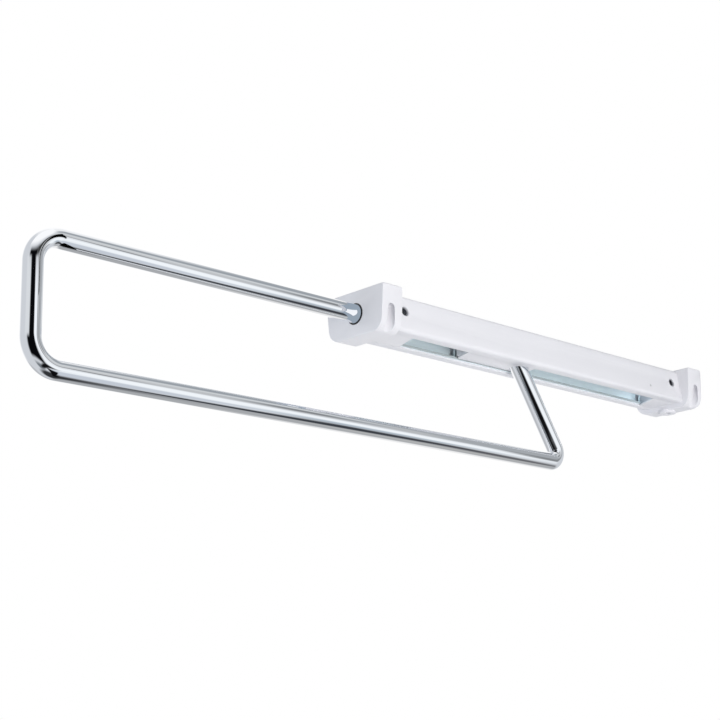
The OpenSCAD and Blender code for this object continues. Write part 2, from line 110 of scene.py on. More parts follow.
class RailHousingSettings(bpy.types.PropertyGroup):
    coating: FloatVectorProperty(
        name="Coating", description="Colour of the white coated cover",
        default=(0.77, 0.765, 0.80), subtype="COLOR")
    zinc: FloatVectorProperty(
        name="Zinc", description="Colour of the pale blue zinc plating",
        default=(0.87, 0.965, 1.0), subtype="COLOR")
    cover_edge: FloatProperty(
        name="Cover edge", description="Rounding of the cover's edges", default=0.5 * MM, unit="LENGTH")
    edge: FloatProperty(
        name="Sheet edge", description="Rounding of the rail's edges", default=0.22 * MM, unit="LENGTH")
    cut_half: FloatProperty(
        name="Cut edge", description="Half the width between the rail's cut edges, with their rounding",
        default=9.5 * MM, unit="LENGTH")
    # painted shade: darkening along the rail's cut edges, partly their own darker colour
    cut_edge_painted_shade: FloatProperty(
        name="Cut edge's shade", description="Darkening of the rail's cut edges", default=0.5, min=0, max=1)
    mark: FloatVectorProperty(
        name="Mark", description="Place of the small dimple in the cover's sides",
        default=(117.5 * MM, 0, -19.2 * MM), unit="LENGTH")
    mark_d: FloatProperty(
        name="Mark width", description="Diameter of the small dimple in the cover's sides",
        default=2.8 * MM, unit="LENGTH")
    mark_depth: FloatProperty(
        name="Mark depth", description="Depth of the small dimple in the cover's sides",
        default=0.5 * MM, unit="LENGTH")


class RailMouldingSettings(bpy.types.PropertyGroup):
    white: FloatVectorProperty(
        name="White moulding", description="Colour of the end caps and the carriage",
        default=(0.765, 0.76, 0.795), subtype="COLOR")
    nylon: FloatVectorProperty(
        name="White nylon", description="Colour of the rollers", default=(0.74, 0.74, 0.72), subtype="COLOR")
    black: FloatVectorProperty(
        name="Black moulding", description="Colour of the guide bush",
        default=(0.012, 0.012, 0.014), subtype="COLOR")
    rubber: FloatVectorProperty(
        name="Black rubber", description="Colour of the buffers",
        default=(0.02, 0.02, 0.02), subtype="COLOR")
    steel: FloatVectorProperty(
        name="Bright steel", description="Colour of the axles, clips, rivets and the screw",
        default=(0.56, 0.57, 0.59), subtype="COLOR")
    cap_edge: FloatProperty(
        name="Cap edge", description="Rounding of the end caps' edges", default=1.2 * MM, unit="LENGTH")
    slide_edge: FloatProperty(
        name="Carriage edge", description="Rounding of the carriage's edges",
        default=0.35 * MM, unit="LENGTH")


class RailStageSettings(bpy.types.PropertyGroup):
    ambient: FloatProperty(
        name="Ambient", description="Level of the soft light from all sides", default=0.62, min=0)
    ambient_colour: FloatVectorProperty(
        name="Ambient colour", description="Colour of the soft light from all sides",
        default=(0.92, 0.96, 1.0), subtype="COLOR")
    key: FloatProperty(
        name="Key light", description="Power of the large soft lamp on the viewer's side",
        default=24, min=0, unit="POWER")
    fill: FloatProperty(
        name="Fill light", description="Power of the soft lamp below", default=0.8, min=0, unit="POWER")
    front: FloatProperty(
        name="Front light", description="Power of the cool soft lamp in front of the housing",
        default=5, min=0, unit="POWER")
    far: FloatProperty(
        name="Far light", description="Power of the large soft lamp above the far side",
        default=12, min=0, unit="POWER")
    pocket: FloatProperty(
        name="Pocket light", description="Power of the tiny lamp in the slot's rear end",
        default=0.0013, min=0, unit="POWER")
    tent_radius: FloatProperty(
        name="Tent", description="Radius of the studio tent that polished metal reflects",
        default=0.8, unit="LENGTH")
    tent_centre: FloatVectorProperty(
        name="Tent's centre", description="Centre of the studio tent",
        default=(-0.2, 0, -0.05), unit="LENGTH")
    floor_z: FloatProperty(name="Floor", description="Height of the floor", default=-0.9, unit="LENGTH")
    floor_half: FloatProperty(
        name="Floor's half width", description="Half the width of the floor", default=20, unit="LENGTH")
    floor_glow: FloatProperty(
        name="Floor's glow", description="Light added to the floor where it is seen, so it looks pale",
        default=0.3, min=0)
    floor_colour: FloatVectorProperty(
        name="Floor colour", description="Colour of the pale floor",
        default=(0.93, 0.93, 0.94), subtype="COLOR")


# Shader nodes

def node(tree, kind, links=None, **values):
    """A node of a tree. values set its properties, and links its inputs, to a value or another socket."""
    made = tree.nodes.new("ShaderNode" + kind)
    for key, value in values.items():
        setattr(made, key, value)
    for key, value in (links or {}).items():
        if isinstance(value, bpy.types.NodeSocket):
            tree.links.new(value, made.inputs[key])
        else:
            made.inputs[key].default_value = value
    return made


def maths(tree, operation, *values):
    """The result of a Math node on one or two values or sockets."""
    return node(tree, "Math", dict(enumerate(values)), operation=operation).outputs[0]


def ramp(tree, value, start=0.0, end=1.0, low=0.0, high=1.0, curve="LINEAR"):
    """A value taken from the range start to end into the range low to high, and kept inside it."""
    links = {"Value": value, "From Min": start, "From Max": end, "To Min": low, "To Max": high}
    return node(tree, "MapRange", links, interpolation_type=curve).outputs["Result"]


def scaled(tree, colour, factor):
    """A colour times a factor."""
    return node(tree, "VectorMath", {0: colour, "Scale": factor}, operation="SCALE").outputs[0]


def group(name, inputs, output):
    """A new node group. inputs holds (name, kind, default) and output (name, kind). Returns the group's tree,
    its inputs as sockets by name, and the socket that its result goes to."""
    tree = bpy.data.node_groups.new(name, "ShaderNodeTree")
    for title, kind, default in inputs:
        socket = tree.interface.new_socket(name=title, in_out="INPUT", socket_type="NodeSocket" + kind)
        if default is not None:
            socket.default_value = default
    title, kind = output
    tree.interface.new_socket(name=title, in_out="OUTPUT", socket_type="NodeSocket" + kind)
    given = tree.nodes.new("NodeGroupInput").outputs
    result = tree.nodes.new("NodeGroupOutput").inputs[title]
    return tree, given, result


WHITE = (1, 1, 1, 1)
SMUDGE_SCALE, DUST_SCALE = 38.0, 420.0        # both per metre
FINER_OCTAVE, FINER_WEIGHT = 3.1, 0.5
DIMPLE_PAINTED_SHADE = 0.6                            # painted shade: the colour's level at the middle of the dimple


def mottle_group():
    """Slow, soft drift of a colour: colour * (1 - amount + 2 * amount * noise)."""
    tree, given, result = group("soft_mottle", [
        ("Color", "Color", WHITE),
        ("Vector", "Vector", None),
        ("Scale", "Float", 30.0),
        ("Amount", "Float", 0.02),
    ], ("Color", "Color"))
    noise = node(tree, "TexNoise", {"Vector": given["Vector"], "Scale": given["Scale"], "Detail": 3.0})
    low = maths(tree, "SUBTRACT", 1.0, given["Amount"])
    high = maths(tree, "ADD", 1.0, given["Amount"])
    factor = ramp(tree, noise.outputs["Fac"], 0.3, 0.7, low, high)
    tree.links.new(scaled(tree, given["Color"], factor), result)
    return tree


def handling_group():
    """Roughness of a handled surface: a base level, raised in large smudges and in small specks of dust."""
    tree, given, result = group("handling", [
        ("Vector", "Vector", None),
        ("Base", "Float", 0.3),
        ("Smudge", "Float", 0.1),
        ("Dust", "Float", 0.1),
    ], ("Roughness", "Float"))
    smudges = {"Vector": given["Vector"], "Scale": SMUDGE_SCALE, "Detail": 4.0, "Distortion": 0.6}
    noise = node(tree, "TexNoise", smudges)
    cells = node(tree, "TexVoronoi", {"Vector": given["Vector"], "Scale": DUST_SCALE})
    smear = ramp(tree, noise.outputs["Fac"], 0.45, 0.75, 0.0, given["Smudge"])
    speck = ramp(tree, cells.outputs["Distance"], 0.12, 0.0, 0.0, given["Dust"])
    total = maths(tree, "ADD", given["Base"], maths(tree, "ADD", smear, speck))
    tree.links.new(total, result)
    return tree


def grain_group():
    """Height of a fine surface grain: two octaves of noise, the finer at half weight."""
    tree, given, result = group("fine_grain", [
        ("Vector", "Vector", None),
        ("Scale", "Float", 900.0),
    ], ("Height", "Float"))
    coarse = node(tree, "TexNoise", {"Vector": given["Vector"], "Scale": given["Scale"], "Detail": 2.0})
    finer = maths(tree, "MULTIPLY", given["Scale"], FINER_OCTAVE)
    fine = node(tree, "TexNoise", {"Vector": given["Vector"], "Scale": finer, "Detail": 1.0})
    weighed = maths(tree, "MULTIPLY", fine.outputs["Fac"], FINER_WEIGHT)
    total = maths(tree, "ADD", coarse.outputs["Fac"], weighed)
    tree.links.new(total, result)
    return tree


def dimple_group():
    """A small round dimple in the sides: 1 outside its radius, falling to 0 at its middle, by the distance in
    the X-Z plane."""
    tree, given, result = group("dimple", [
        ("Vector", "Vector", None),
        ("Place", "Vector", None),
        ("Radius", "Float", 0.001),
    ], ("Height", "Float"))
    away = node(tree, "VectorMath", {0: given["Vector"], 1: given["Place"]}, operation="SUBTRACT")
    flat = node(tree, "VectorMath", {0: away.outputs[0], 1: (1, 0, 1)}, operation="MULTIPLY")
    reach = node(tree, "VectorMath", {0: flat.outputs[0]}, operation="LENGTH")
    rise = ramp(tree, reach.outputs["Value"], end=given["Radius"], curve="SMOOTHSTEP")
    tree.links.new(rise, result)
    return tree


def cut_edge_and_painted_shade_group():
    """Darkens a colour on the cut edges of a bent sheet with painted shade, partly their own darker colour:
    where the place lies between two planes at +Half and -Half across Y, and below a height."""
    tree, given, result = group("cut_edge", [
        ("Color", "Color", WHITE),
        ("Vector", "Vector", None),
        ("Half", "Float", 0.01),
        ("Shade", "Float", 0.5),
        ("Below", "Float", 0.0),
    ], ("Color", "Color"))
    place = node(tree, "SeparateXYZ", {0: given["Vector"]}).outputs
    inside = maths(tree, "LESS_THAN", maths(tree, "ABSOLUTE", place["Y"]), given["Half"])
    low = maths(tree, "LESS_THAN", place["Z"], given["Below"])
    shade = ramp(tree, maths(tree, "MULTIPLY", inside, low), low=1.0, high=given["Shade"])
    tree.links.new(scaled(tree, given["Color"], shade), result)
    return tree


def panel_group():
    """A soft-edged panel of the tent, laid over the colour that comes in. Its mask is 1 between two bearings
    and two heights, falls to 0 over the soft border, and leans by so many degrees of bearing for each degree
    of height."""
    tree, given, result = group("soft_panel", [
        ("Color", "Color", WHITE),
        ("Bearing", "Float", 0.0),
        ("Height", "Float", 0.0),
        ("Middle", "Float", 0.0),
        ("Half Width", "Float", 10.0),
        ("Centre", "Float", 0.0),
        ("Half Height", "Float", 10.0),
        ("Lean", "Float", 0.0),
        ("Soft", "Float", 5.0),
        ("Panel", "Color", WHITE),
    ], ("Color", "Color"))
    rise = maths(tree, "SUBTRACT", given["Height"], given["Centre"])
    upright = maths(tree, "SUBTRACT", given["Bearing"], given["Middle"])
    aside = maths(tree, "SUBTRACT", upright, maths(tree, "MULTIPLY", given["Lean"], rise))
    masks = []
    for away, half in ((aside, given["Half Width"]), (rise, given["Half Height"])):
        inner = maths(tree, "SUBTRACT", half, given["Soft"])
        outer = maths(tree, "ADD", half, given["Soft"])
        masks.append(ramp(tree, maths(tree, "ABSOLUTE", away), outer, inner, curve="SMOOTHSTEP"))
    mask = maths(tree, "MULTIPLY", *masks)
    over = node(tree, "Mix", {0: mask, 6: given["Color"], 7: given["Panel"]}, data_type="RGBA")
    tree.links.new(over.outputs[2], result)
    return tree


# Finishes

def blank_material(name):
    """A new material with nothing but its output. Returns the material, its tree and its surface socket."""
    mat = bpy.data.materials.new(name)
    mat.use_nodes = True
    tree = mat.node_tree
    tree.nodes.clear()
    return mat, tree, tree.nodes.new("ShaderNodeOutputMaterial").inputs["Surface"]


def surface(name, colour, shared, metallic=0.0, rough=0.4, smudge=0.05, dust=0.05, mottle=(30.0, 0.015),
            grain=None, stretch=(1, 1, 1), dimple=None, cut=None):
    """One finish on Object coordinates: a mottled colour, a handled roughness and a fine grain.
    mottle is (scale, amount), grain is (scale, strength, height in mm), dimple is (place, width, depth) with
    painted shade darkening its middle, and cut is (half width, shade, the height below which the edges are
    darkened by painted shade, partly their own darker colour)."""
    mat, tree, out = blank_material(name)
    shader = node(tree, "BsdfPrincipled", {"Metallic": metallic})
    tree.links.new(shader.outputs[0], out)
    place = node(tree, "TexCoord").outputs["Object"]
    where = node(tree, "Mapping", {"Vector": place, "Scale": stretch}).outputs[0]

    def use(key, links):
        return node(tree, "Group", links, node_tree=shared[key]).outputs[0]

    scale, amount = mottle
    tone = use("mottle", {"Color": (*colour, 1), "Vector": where, "Scale": scale, "Amount": amount})
    feel = use("handling", {"Vector": where, "Base": rough, "Smudge": smudge, "Dust": dust})
    bump = None
    if grain:
        scale, strength, height = grain
        texture = use("grain", {"Vector": where, "Scale": scale})
        relief = {"Height": texture, "Strength": strength, "Distance": height * MM}
        bump = node(tree, "Bump", relief).outputs[0]
    # painted shade along the rail's cut edges below a height, partly their own darker colour
    if cut:
        half, shade, below = cut
        tone = use("cut_edge", {"Color": tone, "Vector": place, "Half": half, "Shade": shade, "Below": below})
    if dimple:
        middle, width, depth = dimple
        dent = use("dimple", {"Vector": where, "Place": middle, "Radius": width / 2})
        relief = {"Height": dent, "Strength": 1.0, "Distance": depth, "Normal": bump}
        bump = node(tree, "Bump", relief).outputs[0]
        # painted shade: the colour darkens towards the dimple's middle
        tone = scaled(tree, tone, ramp(tree, dent, low=DIMPLE_PAINTED_SHADE))
    tree.links.new(tone, shader.inputs["Base Color"])
    tree.links.new(feel, shader.inputs["Roughness"])
    if bump:
        tree.links.new(bump, shader.inputs["Normal"])
    return mat


def chrome_plating(scene, shared):
    """Polished chrome: nearly a mirror, with faint smudges."""
    surface("chrome_plating", scene.rail_bar.chrome, shared, metallic=1.0, rough=0.035, smudge=0.02, dust=0.0,
            mottle=(14.0, 0.012))


def white_coating(scene, shared):
    """Satin white coat of the cover, with the small dimple in its sides and painted shade darkening its
    middle.
    """
    s = scene.rail_housing
    surface("white_coating", s.coating, shared, rough=0.36, smudge=0.06, dust=0.08, mottle=(18.0, 0.012),
            grain=(700.0, 0.25, 0.03), dimple=(s.mark, s.mark_d, s.mark_depth))


def blue_zinc(scene, shared):
    """Pale blue zinc plating with a mottle drawn out along the rail, darker on the sheet's cut edges: painted
    shade, partly the edges' own darker colour.
    """
    s = scene.rail_housing
    surface("blue_zinc", s.zinc, shared, rough=0.42, smudge=0.14, dust=0.06, mottle=(240.0, 0.06),
            grain=(900.0, 0.35, 0.03), stretch=(0.25, 1, 1), cut=(s.cut_half, s.cut_edge_painted_shade, TOP_Z))


def white_moulding(scene, shared):
    """Smooth white moulding of the end caps and the carriage."""
    surface("white_moulding", scene.rail_moulding.white, shared, rough=0.33, smudge=0.07, dust=0.06,
            mottle=(22.0, 0.014), grain=(1500.0, 0.2, 0.02))


def white_nylon(scene, shared):
    """Duller, warmer white of the rollers."""
    surface("white_nylon", scene.rail_moulding.nylon, shared, rough=0.42, smudge=0.05, dust=0.05,
            mottle=(60.0, 0.02), grain=(1400.0, 0.3, 0.03))


def black_moulding(scene, shared):
    """Black moulding of the guide bush."""
    surface("black_moulding", scene.rail_moulding.black, shared, rough=0.4, smudge=0.1, dust=0.2,
            mottle=(60.0, 0.1), grain=(1500.0, 0.3, 0.03))


def bright_steel(scene, shared):
    """Plain bright steel of the axles, clips, rivets and the screw."""
    surface("bright_steel", scene.rail_moulding.steel, shared, metallic=1.0, rough=0.24, smudge=0.12,
            dust=0.08, mottle=(120.0, 0.05), grain=(1200.0, 0.25, 0.02))


def black_rubber(scene, shared):
    """Dull black rubber of the buffers."""
    surface("black_rubber", scene.rail_moulding.rubber, shared, rough=0.7, smudge=0.1, dust=0.2,
            mottle=(90.0, 0.15), grain=(2000.0, 0.5, 0.04))


def make_materials(scene):
    """Every finish of the object, by name, round one set of shared node groups."""
    shared = {
        "mottle": mottle_group(),
        "handling": handling_group(),
        "grain": grain_group(),
        "dimple": dimple_group(),
        "cut_edge": cut_edge_and_painted_shade_group(),
    }
    for finish in (chrome_plating, white_coating, blue_zinc, white_moulding, white_nylon, black_moulding,
                   bright_steel, black_rubber):
        finish(scene, shared)


def dress(obj, material):
    """Gives an object one material, by its name."""
    obj.data.materials.clear()
    obj.data.materials.append(bpy.data.materials[material])
    for slot in obj.material_slots:
        slot.material = bpy.data.materials[material]


# Meshes

BEND_STEPS = 33
UPPER_LEG_STEPS, FRONT_LEG_STEPS, LOWER_LEG_STEPS, BRACE_STEPS = 40, 10, 50, 12
SHARP_ANGLE = math.radians(35)        # edges of the bar that turn by more than this are drawn sharp
FLAT_ANGLE = math.radians(0.6)        # triangles of a CAD mesh that turn by less are one flat face
EASED_ANGLE = math.radians(32)        # edges of a CAD mesh that turn by more are rounded
SAME_POINT = 2e-6
POLE = 1e-7


def new_piece(name, mesh, material, body, stands_for):
    """A piece of the object that takes the place of one CAD node and rides on a body."""
    obj = bpy.data.objects.new(name, mesh)
    bpy.context.scene.collection.objects.link(obj)
    dress(obj, material)
    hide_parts(stands_for)
    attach(obj, body)
    return obj


def shade_smooth(mesh):
    """Smooth shading on every face."""
    mesh.polygons.foreach_set("use_smooth", np.ones(len(mesh.polygons), bool))


def grid_mesh(name, rings):
    """Mesh of a closed tube from rings[i, j], point j of ring i. A ring that shrinks to a point is a pole."""
    count, sides, _ = rings.shape
    i, j = np.meshgrid(np.arange(count - 1), np.arange(sides), indexing="ij")
    beside = (j + 1) % sides
    corners = [i * sides + j, i * sides + beside, (i + 1) * sides + beside, (i + 1) * sides + j]
    quads = np.stack(corners, -1).reshape(-1, 4)
    mesh = bpy.data.meshes.new(name)
    mesh.from_pydata(rings.reshape(-1, 3).tolist(), [], quads.tolist())
    bm = bmesh.new()
    bm.from_mesh(mesh)
    bmesh.ops.remove_doubles(bm, verts=bm.verts, dist=POLE)
    bmesh.ops.recalc_face_normals(bm, faces=bm.faces)
    bm.to_mesh(mesh)
    bm.free()
    shade_smooth(mesh)
    mesh.set_sharp_from_angle(angle=SHARP_ANGLE)
    mesh.update()
    return mesh


def arc(centre, radius, start, sweep):
    """Points of an arc in the X-Z plane: centre + radius * (cos a, sin a), from start over the sweep."""
    a = start + sweep * np.linspace(0, 1, BEND_STEPS)
    return np.stack([centre[0] + radius * np.cos(a), centre[1] + radius * np.sin(a)], -1)


def bar_line(s):
    """The bar's centre line as points (x, z): from the upper leg's cut end forwards, round the two front
    corners, back along the lower leg, round the rear corner and up the brace to its cut end."""
    front = FRONT_X + BAR_R
    low = BAR_LO[2] + BAR_R
    bend = s.front_bend
    quarter = math.pi / 2
    upper_end = FRONT_AXLE_X + s.past_front_axle
    height = TOP_Z - low
    foot = np.array([REAR_AXLE_X + height / math.tan(s.brace_angle), low])
    turn = math.pi - s.brace_angle
    tangent = s.rear_bend * math.tan(turn / 2)
    up = np.array([-math.cos(s.brace_angle), math.sin(s.brace_angle)])
    brace = height / math.sin(s.brace_angle)
    brace_end = foot + up * (brace + s.past_rear_axle)
    lower_end = foot[0] - tangent
    return np.concatenate([
        [[upper_end, TOP_Z], [upper_end - s.chamfer, TOP_Z]],
        np.linspace((FRONT_AXLE_X, TOP_Z), (front + bend, TOP_Z), UPPER_LEG_STEPS)[:-1],
        arc((front + bend, TOP_Z - bend), bend, quarter, quarter),
        np.linspace((front, TOP_Z - bend), (front, low + bend), FRONT_LEG_STEPS)[1:-1],
        arc((front + bend, low + bend), bend, 2 * quarter, quarter),
        np.linspace((front + bend, low), (lower_end, low), LOWER_LEG_STEPS)[1:-1],
        arc((lower_end, low + s.rear_bend), s.rear_bend, -quarter, turn),
        np.linspace(foot + up * tangent, foot + up * brace, BRACE_STEPS)[1:],
        [brace_end - up * s.chamfer, brace_end],
    ])


def bar_rings(s):
    """The bar: a circle of the bar's radius carried along its centre line in the X-Z plane,
    p + r * (cos u * Y + sin u * n), where n is the line's normal. The radius falls by the chamfer at the cut
    ends and to nothing on the axis."""
    line = bar_line(s)
    step = np.gradient(line, axis=0)
    step /= np.linalg.norm(step, axis=1)[:, None]
    normal = np.stack([-step[:, 1], step[:, 0]], -1)
    radius = np.full(len(line), BAR_R)
    radius[[0, -1]] -= s.chamfer
    line = np.concatenate([line[:1], line, line[-1:]])
    normal = np.concatenate([normal[:1], normal, normal[-1:]])
    radius = np.concatenate([[0], radius, [0]])
    u = np.linspace(0, 2 * math.pi, s.sides, endpoint=False)
    outwards = radius[:, None] * np.sin(u)
    rings = np.zeros((len(line), s.sides, 3))
    rings[..., 0] = line[:, :1] + outwards * normal[:, :1]
    rings[..., 1] = radius[:, None] * np.cos(u)
    rings[..., 2] = line[:, 1:] + outwards * normal[:, 1:]
    return rings


def eased_copy(node_name, name, width, material, body, segments=3):
    """A CAD node's mesh with its loose triangles merged and its flat faces joined, and its edges rounded by a
    live Bevel."""
    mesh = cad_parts[node_name].data.copy()
    mesh.name = name
    bm = bmesh.new()
    bm.from_mesh(mesh)
    bmesh.ops.remove_doubles(bm, verts=bm.verts, dist=SAME_POINT)
    bmesh.ops.dissolve_limit(bm, angle_limit=FLAT_ANGLE, verts=bm.verts, edges=bm.edges)
    bm.to_mesh(mesh)
    bm.free()
    shade_smooth(mesh)
    obj = new_piece(name, mesh, material, body, node_name)
    bevel = obj.modifiers.new("edges", "BEVEL")
    bevel.width = width
    bevel.segments = segments
    bevel.limit_method = "ANGLE"
    bevel.angle_limit = EASED_ANGLE
    bevel.harden_normals = True
    bevel.use_clamp_overlap = True
    bevel.miter_outer = "MITER_ARC"
    return obj


# Operators for the pieces

class RAIL_OT_bar(bpy.types.Operator):
    """Build the bent chrome bar of the loop"""
    bl_idname = "rail.bar"
    bl_label = "Chrome bar"

    def execute(self, context):
        mesh = grid_mesh("chrome_bar", bar_rings(context.scene.rail_bar))
        bar = new_piece("chrome_bar", mesh, "chrome_plating", "loop", "loop_bar")
        bar.visible_diffuse = False     # polished metal passes light on, so it doesn't darken the rail
        return {"FINISHED"}


class RAIL_OT_housing(bpy.types.Operator):
    """Build the white cover and the zinc rail with rounded edges"""
    bl_idname = "rail.housing"
    bl_label = "Housing"

    def execute(self, context):
        s = context.scene.rail_housing
        eased_copy("cover", "white_cover", s.cover_edge, "white_coating", "housing")
        eased_copy("rail", "zinc_rail", s.edge, "blue_zinc", "housing")
        return {"FINISHED"}


class RAIL_OT_caps(bpy.types.Operator):
    """Build the moulded end caps with rounded edges"""
    bl_idname = "rail.caps"
    bl_label = "End caps"

    def execute(self, context):
        edge = context.scene.rail_moulding.cap_edge
        for end in ("front", "rear"):
            eased_copy(end + "_cap", end + "_end_cap", edge, "white_moulding", "housing", 4)
        return {"FINISHED"}


class RAIL_OT_carriage(bpy.types.Operator):
    """Build the moulded carriage and the shoe in the slot"""
    bl_idname = "rail.carriage"
    bl_label = "Carriage"

    def execute(self, context):
        edge = context.scene.rail_moulding.slide_edge
        for node_name, name in (("carriage", "moulded_carriage"), ("slot_shoe", "moulded_shoe")):
            eased_copy(node_name, name, edge, "white_moulding", "loop")
        return {"FINISHED"}


class RAIL_OT_small_parts(bpy.types.Operator):
    """Finish the bush, rivets, screw, axles, clips, buffers and rollers"""
    bl_idname = "rail.small_parts"
    bl_label = "Small parts"

    def execute(self, context):
        finishes = {
            "black_moulding": ["guide_bush"],
            "bright_steel": ["front_side_rivets", "rear_side_rivets", "rail_rivets", "boss_screw",
                             "front_axle", "rear_axle", "front_axle_clips", "rear_axle_clips"],
            "black_rubber": ["front_buffers", "rear_buffers"],
            "white_nylon": ["roller_front_near", "roller_front_far", "roller_rear_near", "roller_rear_far"],
        }
        for material, names in finishes.items():
            for name in names:
                dress(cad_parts[name], material)
        return {"FINISHED"}


# Stage

# The studio tent that polished metal reflects: soft panels by bearing and height in degrees, later ones over
# earlier ones.
# (name, bearings, heights, lean, soft border, colour)
TENT_BASE = (0.66, 0.68, 0.71)
TENT_PANELS = [
    ("ceiling", (-400, 400), (62, 100), 0, 9, (0.95, 0.95, 0.95)),
    ("far wall", (20, 128), (-20, 100), 0, 14, (1.08, 1.07, 1.06)),
    ("right wall", (-76, 22), (8, 60), 0, 8, (0.40, 0.42, 0.44)),
    ("right wall, shaded top", (-64, -4), (44, 60), 0, 6, (0.34, 0.37, 0.40)),
    ("right wall, lit end", (-78, -52), (17, 34), 0, 6, (0.60, 0.61, 0.62)),
    ("right wall, lit foot", (-64, -37), (7, 17), 0, 4, (0.57, 0.58, 0.59)),
    ("right wall, light seam", (-80, -28), (30, 43), 0, 5, (0.68, 0.70, 0.71)),
    ("right wall, blue recess", (-18, 6), (38, 47), 0, 4, (0.27, 0.31, 0.36)),
    ("right wall, light shelf", (-12, 20), (8, 33), 0.8, 6, (0.74, 0.75, 0.76)),
    ("right wall, dark seam", (-49, -41), (16, 32), 0.5, 3, (0.25, 0.26, 0.27)),
    ("right wall, light strip", (-37, -31), (16, 30), 0.5, 3, (0.52, 0.53, 0.54)),
    ("right wall, corner", (-74, -64), (5, 19), 0, 3, (0.24, 0.25, 0.26)),
    ("window in front", (-92, -28), (-46, 6), 0, 8, (0.97, 1.0, 1.02)),
    ("window's foot", (-92, -43), (-64, -28), 0, 8, (0.60, 0.64, 0.70)),
    ("window's frame", (-33, -26), (-4, 12), 0, 3, (0.25, 0.26, 0.27)),
    ("window, blue pane", (-50, -31), (-31, -15), 0, 6, (0.46, 0.52, 0.58)),
    ("table on the right", (-36, 76), (-64, -24), 0, 8, (0.42, 0.43, 0.44)),
    ("table, light spot", (20, 48), (-38, -12), 0, 8, (0.94, 0.93, 0.92)),
    ("table, pale cloth", (-9, 7), (-52, -34), 0, 5, (0.49, 0.49, 0.48)),
    ("table's back edge", (-34, -8), (-37, -27), 0, 4, (0.14, 0.14, 0.15)),
    ("table's edge", (-37, -15), (-66, -30), -0.3, 6, (0.045, 0.05, 0.06)),
    ("under the table", (-400, 400), (-100, -64), 0, 8, (0.035, 0.036, 0.04)),
    ("ceiling on the left", (-210, -80), (40, 100), 0, 8, (1.05, 1.05, 1.05)),
    ("low wall behind", (70, 125), (-44, -22), 0, 6, (0.52, 0.53, 0.55)),
    ("low wall on the left", (-163, -128), (-62, -42), 0, 7, (0.18, 0.20, 0.22)),
    ("dark floor in front", (-104, -69), (-84, -42), -0.3, 3, (0.004, 0.004, 0.005)),
    ("dark floor below", (-80, 5), (-96, -74), 0, 4, (0.004, 0.004, 0.005)),
    ("dark room behind", (-162, -98), (-30, 32), 0, 6, (0.003, 0.003, 0.004)),
    ("dark room, lower part", (-120, -97), (-55, -20), 1.4, 6, (0.006, 0.006, 0.007)),
    ("dark room, upper edge", (-100, -72), (22, 31), 0, 3, (0.05, 0.05, 0.05)),
    ("lamp before the dark room", (-103, -70), (7, 20), -0.8, 4, (0.98, 1.0, 1.03)),
    ("screen on the left", (-178, -146), (6, 19), 0, 5, (0.74, 0.76, 0.78)),
]
TENT_COLUMNS, TENT_ROWS = 64, 32

# Small cards that only reflections see, and only on the side that along x across points to. Two dark ones
# stand beside the upper front bend, and a blue-grey one with a white one lie on the front cap round the bar.
# (name, centre, along, across, half sizes in mm, colour)
CARD_BLACK = (0.002, 0.002, 0.002)
CARDS = [
    ("tall dark card", (FRONT_X + 45 * MM, -50 * MM, TOP_Z + 5 * MM),
     (0, 0, -1), (0, -1, 0), (22, 7), CARD_BLACK),
    ("low dark card", (FRONT_X + 38 * MM, -12.5 * MM, TOP_Z - 29 * MM),
     (-0.2, -1, 0), (1, 0, 0), (14, 5), CARD_BLACK),
    ("blue-grey card on the cap", (CAP_X - 0.5 * MM, -9 * MM, TOP_Z),
     (0, -1, 0), (0, 0, 1), (11, 15), (0.33, 0.39, 0.46)),
    ("white card on the cap", (CAP_X - 0.7 * MM, -14 * MM, TOP_Z - 3 * MM),
     (0, -1, 0), (0, 0, 1), (5, 5.5), (0.98, 0.99, 1.02)),
]

# Soft round lamps, which light the object and aren't seen themselves
# (name, the setting of its power, place, aim, width, colour)
WARM = (1.0, 0.975, 0.94)
COOL = (0.84, 0.92, 1.0)
LAMPS = [
    ("key_lamp", "key", (-0.6, -2.0, -0.55), (0.0, 0.0, -0.03), 1.0, WARM),
    ("low_lamp", "fill", (-0.2, -0.9, -0.8), (-0.1, 0.0, -0.03), 0.9, WARM),
    ("front_lamp", "front", (-2.0, 0.5, -0.35), (-0.15, 0.0, -0.03), 1.0, COOL),
    ("pocket_lamp", "pocket", (REAR_X - 45 * MM, -6 * MM, -17 * MM), (REAR_X - 29 * MM, 10 * MM, -13 * MM),
     8 * MM, COOL),
    ("far_lamp", "far", (0.7, 2.0, 1.0), (0.0, 0.0, -0.03), 1.4, WARM),
]

# The photograph's camera, as its edges of the bar and the housing give it: place in metres, angles in degrees
CAMERA_PLACE = (-0.81111, -0.65163, -0.29107)
CAMERA_YAW, CAMERA_PITCH, CAMERA_ROLL = 44.468, 15.104, -1.534
CAMERA_FOCUS_PX = 1505.53
PHOTO_WIDTH_PX = 720
SENSOR_MM = 36
NEAREST, FARTHEST = 0.01, 50


def seen_directly(tree):
    """1 for camera, glossy and transmission rays, which show the pale background, and 0 for all others."""
    rays = node(tree, "LightPath").outputs
    seen = maths(tree, "MAXIMUM", rays["Is Camera Ray"], rays["Is Glossy Ray"])
    return maths(tree, "MAXIMUM", seen, rays["Is Transmission Ray"])


